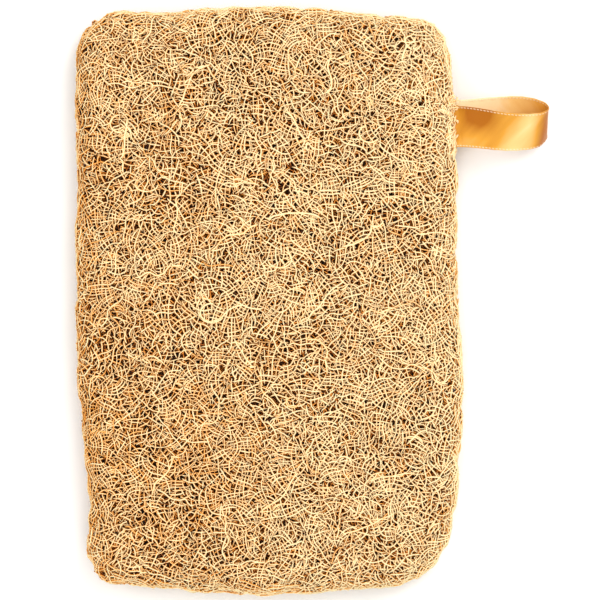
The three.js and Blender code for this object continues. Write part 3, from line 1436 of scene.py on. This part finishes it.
@dataclass
class ShadedInnerTangle:
    """The close mass of fibre inside, drawn in round the ribbon's ends, dark with painted shade.
    Millimetres.
    """

    surface: Surface
    depth: float = 2.6
    under_rings: int = 6
    top_rings: int = 7
    crown_share: float = 0.6
    crown_drop: float = 0.4
    ribbon_room: float = 2.5
    ribbon_fade: float = 2.0
    end_room: float = 0.8

    def rings(self) -> list[tuple[float, float]]:
        """Works out the tangle's section.

        Returns:
            Pairs of inset from the outline and height, from below to above.
        """
        form = self.surface.form
        under, top = np.linspace(1, 0, self.under_rings), np.linspace(0, 1, self.top_rings)[1:]
        rings = []
        for face, shares in ((Face.UNDERSIDE, under), (Face.TOP, top)):
            reach, height, _, _ = form.rounding(face)
            for turn in shares * np.pi / 2:
                slope = np.array([np.cos(turn) / reach, np.sin(turn) / height])
                inward, down = self.depth * slope / np.linalg.norm(slope)
                level = face.value * (height * np.sin(turn) - down)
                rings.append((reach * (1 - np.cos(turn)) + inward, form.widest_height + level))
        rings.append((form.half_width * self.crown_share, form.thickness - self.crown_drop - self.depth))
        return rings

    def mesh(self, name: str) -> bpy.types.Object:
        """Builds the tangle as one closed shape.

        Args:
            name: the piece's name.

        Returns:
            The piece.
        """
        form, surface = self.surface.form, self.surface
        rings = []
        for into, level in self.rings():
            shrink = 1 - into / np.array([form.half_width, form.half_length])
            rings.append(np.column_stack([form.outline * shrink, np.full(len(form.outline), level)]))
        count = len(form.outline)
        ends = [[0, 0, rings[0][0, 2]], [0, 0, form.thickness - self.depth]]
        places = np.concatenate([*rings, ends])
        room = surface.ribbon_half_width + self.ribbon_room - np.abs(places[:, 1] - RIBBON_Y)
        near = np.clip(room / self.ribbon_fade, 0, 1)
        limit = surface.ribbon_end - self.end_room
        out = places[:, 0]
        places[:, 0] = np.where(out > limit, out + near * (limit - out), out)
        faces = []
        last = (len(rings) - 1) * count
        for i in range(count):
            j = (i + 1) % count
            faces.append([len(places) - 2, j, i])
            faces.append([len(places) - 1, last + i, last + j])
            for low in range(0, last, count):
                faces.append([low + i, low + j, low + count + j, low + count + i])
        return new_piece(name, places, faces, InnerShadeFinish().material())


@dataclass
class LoofahPad:
    """The pad: nets of fibre over both faces, its pressed rim and the tangle inside, dark with painted
    shade.
    """

    surface: Surface
    # The deeper layers' lower tones are partly the fibre's own darker colour and partly painted shade.
    layers: tuple[Layer, ...] = (
        Layer("loofah_top_net", Face.TOP, 11, 0.3, 0.81, 0.265, 3, 2, 0.73),
        Layer("loofah_top_second_net", Face.TOP, 31, 0.75, 0.87, 0.265, 3, 2, 0.62, 0.8),
        Layer("loofah_top_third_net", Face.TOP, 51, 1.35, 1.2, 0.26, 3, 3, 0.1, 0.4),
        Layer("loofah_top_fourth_net", Face.TOP, 61, 2.0, 1.6, 0.26, 3, 3, -0.15),
        Layer("loofah_under_net", Face.UNDERSIDE, 71, 0.36, 0.95, 0.28, 3, 2, 0.65),
        Layer("loofah_under_second_net", Face.UNDERSIDE, 91, 1.0, 1.25, 0.27, 3, 3, 0.3, 0.4),
    )

    def build(self) -> None:
        """Builds every piece of the pad."""
        finish = FibreFinish().material()
        net = LayeredNet(self.surface)
        pieces = [net.strands(layer).mesh(layer.name, finish) for layer in self.layers]
        pieces.append(LooseFibres(self.surface).strands().mesh("loofah_loose_fibres", finish))
        pieces.append(Rim(self.surface).strands().mesh("loofah_rim", finish))
        pieces.append(ShadedInnerTangle(self.surface).mesh("loofah_shaded_inner_tangle"))
        for piece in pieces:
            wear(piece, "loofah_pad")


@dataclass
class RibbonLoop:
    """The satin ribbon, folded into a loop. Sizes are the CAD strip's, in millimetres."""

    width: float = 10.6
    thickness: float = 0.3
    root_x: float = 49.4
    tail: float = 9.0
    tail_half_gap: float = 0.35
    loop_length: float = 23.0
    half_depth: float = 4.4
    round_length: float = 9.8
    flare: tuple[float, float] = (3.0, 2.2)
    flare_end: float = 8.0
    tip_tilt: float = float(np.radians(38))
    tilt_power: float = 0.65
    lower_edge_tilt: float = float(np.radians(17))
    lower_edge_power: int = 7
    root_skew: float = 0.85
    step: float = 0.15
    curve_points: int = 60
    easing: int = 11
    columns: tuple[float, ...] = (1, 0.985, 0.965, 0.94, 0.91, 0.88, 0.85, 0.8, 0.6, 0.4, 0.2)
    edge_band: float = 0.75
    edge_fade: float = 0.2
    edge_thin: float = 0.35
    cloth_share: float = 0.85
    edge_swell: float = 0.1
    nub: float = 0.35
    nub_pitch: float = 0.62
    nub_slant: float = 3.0
    free_from: float = 1.0
    free_fade: float = 3.0
    sway: float = 0.1
    sway_rate: float = 0.55
    sway_across: float = 0.5
    cup: float = 0.12
    pucker: float = 0.05
    pucker_rate: float = 2.1

    def path(self) -> np.ndarray:
        """Draws the ribbon's run seen along its width.

        Returns:
            Evenly spaced places: out from the edge, and up.
        """
        round_start = self.loop_length - self.round_length
        tail = np.array([[-self.tail, self.tail_half_gap]])
        handles = np.array([
            [0, self.tail_half_gap], self.flare,
            [self.flare_end, self.half_depth], [round_start, self.half_depth],
        ])
        # The ribbon flares from its tail to the loop's full depth on one cubic curve.
        t = np.linspace(0, 1, self.curve_points)[:, None]
        weights = np.hstack([(1 - t) ** 3, 3 * t * (1 - t) ** 2, 3 * t * t * (1 - t), t ** 3])
        turn = np.linspace(np.pi / 2, 0, self.curve_points)
        end = [round_start + self.round_length * np.cos(turn), self.half_depth * np.sin(turn)]
        upper = np.vstack([tail, weights @ handles, np.stack(end, 1)[1:]])
        whole = np.vstack([upper, upper[-2::-1] * (1, -1)])
        run = run_along(whole)
        even = read_along(np.linspace(0, run[-1], int(run[-1] / self.step)), run, whole)
        mean = np.full(self.easing, 1 / self.easing)
        margin = self.easing // 2
        even[margin:-margin] = np.stack([np.convolve(even[:, k], mean, "valid") for k in (0, 1)], 1)
        self.length = float(np.linalg.norm(np.diff(even, axis=0), axis=1).sum())
        return even

    def spot(self, out: np.ndarray, up: np.ndarray, across: np.ndarray) -> np.ndarray:
        """Leans and places the ribbon.

        Args:
            out: how far out from the pad's edge each point lies.
            up: how far up, before it leans.
            across: how far across the ribbon.

        Returns:
            Places in space.
        """
        share = np.clip(out / self.loop_length, 0, 1)
        tilt = self.tip_tilt * share ** self.tilt_power
        lower = np.clip(-2 * across / self.width, 0, 1)
        tilt = tilt + self.lower_edge_tilt * share ** self.lower_edge_power * lower
        skew = np.clip(up / self.tail_half_gap, -1, 1) * self.root_skew * (1 - share)
        y = RIBBON_Y + across * np.cos(tilt) - up * np.sin(tilt) - skew
        z = RIBBON_Z + across * np.sin(tilt) + up * np.cos(tilt)
        return np.stack([self.root_x + out, y, z], -1)

    def build(self) -> None:
        """Builds the ribbon and says how large a strip it was cut from."""
        path = self.path()
        along = np.gradient(path, axis=0)
        outward = unit(np.stack([-along[:, 1], along[:, 0]], 1))
        run = np.linspace(0, self.length, len(path))
        columns, middle = np.array(self.columns), self.width / 2
        across = np.concatenate([-columns, [0], columns[::-1]]) * middle
        rim = np.clip((np.abs(across) - middle + self.edge_band) / self.edge_fade, 0, 1)
        nub = 0.5 + 0.5 * np.sin(TURN * run[:, None] / self.nub_pitch + self.nub_slant * across)
        half = self.thickness / 2 * (self.cloth_share + rim * (self.edge_swell + self.nub * nub))
        half[:, [0, -1]] *= self.edge_thin
        free = np.clip((path[:, 0] - self.free_from) / self.free_fade, 0, 1)
        sway = self.sway * np.sin(run * self.sway_rate)[:, None] * np.cos(across * self.sway_across)
        pucker = self.pucker * np.sin(run * self.pucker_rate)[:, None] * rim
        offset = free[:, None] * (sway + self.cup * (across / middle) ** 2 + pucker)
        sheets = []
        for sign in (1, -1):
            reach = offset + sign * half
            out = path[:, :1] + outward[:, :1] * reach
            up = path[:, 1:] + outward[:, 1:] * reach
            sheets.append(self.spot(out, up, np.broadcast_to(across, out.shape)))
        wear(self.mesh(sheets, run, across), "ribbon_loop")

    def mesh(self, sheets: list[np.ndarray], run: np.ndarray, across: np.ndarray) -> bpy.types.Object:
        """Closes the two faces into one solid.

        Args:
            sheets: the places of the outer and the inner face.
            run: how far along the ribbon each row lies.
            across: how far across each column lies.

        Returns:
            The piece.
        """
        rows, columns = len(run), len(across)
        number = np.arange(rows * columns).reshape(rows, columns)
        a, b, c, d = number[:-1, :-1], number[1:, :-1], number[1:, 1:], number[:-1, 1:]
        outer = np.stack([a, b, c, d], -1).reshape(-1, 4)
        total = rows * columns
        inner = outer[:, ::-1] + total
        border = np.concatenate([number[0, :-1], number[:-1, -1], number[-1, :0:-1], number[:0:-1, 0]])
        after = np.roll(border, -1)
        rim = np.stack([border, after, after + total, border + total], 1)
        faces = np.concatenate([outer, inner, rim])
        places = np.concatenate([s.reshape(-1, 3) for s in sheets])
        piece = new_piece("satin_ribbon_loop", places, faces.tolist(), SatinFinish().material())
        flat = np.stack(np.meshgrid(run, across, indexing="ij"), -1).reshape(-1, 2)
        write_map(piece, "Weave", np.concatenate([flat, flat])[faces.ravel()])
        LOG.info("ribbon cut: %.1f x %.1f mm", self.width, self.length)
        return piece


@dataclass
class RibbonStitching:
    """The thread through the ribbon's ends, shown as the CAD made it."""

    node: str = "ribbon_stitching"

    def build(self) -> None:
        """Dresses the thread."""
        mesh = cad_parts[self.node].data
        mesh.materials.clear()
        mesh.materials.append(ThreadFinish().material())
        LOG.info("%s: dressed", self.node)


@dataclass(frozen=True)
class Lamp:
    """A soft square lamp that faces the pad. Metres and watts."""

    name: str
    place: tuple[float, float, float]
    size: float
    power: float

    def hang(self) -> None:
        """Hangs the lamp."""
        data = bpy.data.lights.new(self.name, "AREA")
        data.shape, data.size, data.energy = "SQUARE", self.size, self.power
        made = bpy.data.objects.new(self.name, data)
        made.location = self.place
        made.rotation_euler = (-Vector(self.place)).to_track_quat("-Z", "Y").to_euler()
        bpy.context.scene.collection.objects.link(made)


@dataclass
class Studio:
    """The floor, the lights and the camera straight above."""

    pixel: float = 0.26
    view_middle: tuple[float, float] = (8.06, 0.39)
    pad_level: float = 7.0
    camera_height: float = 1.1
    sensor: float = 36.0
    photo_pixels: int = 600
    floor_size: float = 4.0
    sky: float = 0.55
    lamps: tuple[Lamp, ...] = (
        Lamp("key", (0.55, 0.6, 0.75), 0.7, 6.7),
        Lamp("left_fill", (-0.8, 0.1, 0.7), 0.8, 3.4),
        Lamp("low_fill", (0.1, -0.85, 0.7), 0.8, 3.8),
        Lamp("overhead", (0.05, 0.0, 1.3), 1.0, 4.35),
    )

    def build(self) -> None:
        """Sets everything round the object."""
        self.floor()
        self.lights()
        self.camera()

    def floor(self) -> None:
        """Lays the pale floor."""
        bpy.ops.mesh.primitive_plane_add(size=self.floor_size)
        plane = bpy.context.object
        plane.name = "studio_floor"
        plane.data.materials.append(FloorFinish().material())

    def lights(self) -> None:
        """Lights the pad softly from all round, a little more from the top right."""
        for lamp in self.lamps:
            lamp.hang()
        world = bpy.data.worlds.new("studio")
        world.use_nodes = True
        sky = world.node_tree.nodes["Background"]
        sky.inputs["Color"].default_value = (1, 1, 1, 1)
        sky.inputs["Strength"].default_value = self.sky
        bpy.context.scene.world = world
        bpy.context.scene.view_settings.view_transform = "Standard"

    def camera(self) -> None:
        """Puts the camera straight above, with the frame as wide as the photograph's."""
        data = bpy.data.cameras.new("camera")
        data.sensor_width = self.sensor
        width = self.photo_pixels * self.pixel * MM
        data.lens = self.sensor * self.camera_height / width
        made = bpy.data.objects.new("camera", data)
        x, y = self.view_middle
        made.location = (x * MM, y * MM, self.pad_level * MM + self.camera_height)
        bpy.context.scene.collection.objects.link(made)
        bpy.context.scene.camera = made


def main() -> None:
    logging.basicConfig(level=logging.INFO, format="%(name)s: %(message)s")
    Studio().build()
    LoofahPad(Surface(PadForm())).build()
    RibbonLoop().build()
    RibbonStitching().build()


if __name__ == "__main__":
    main()
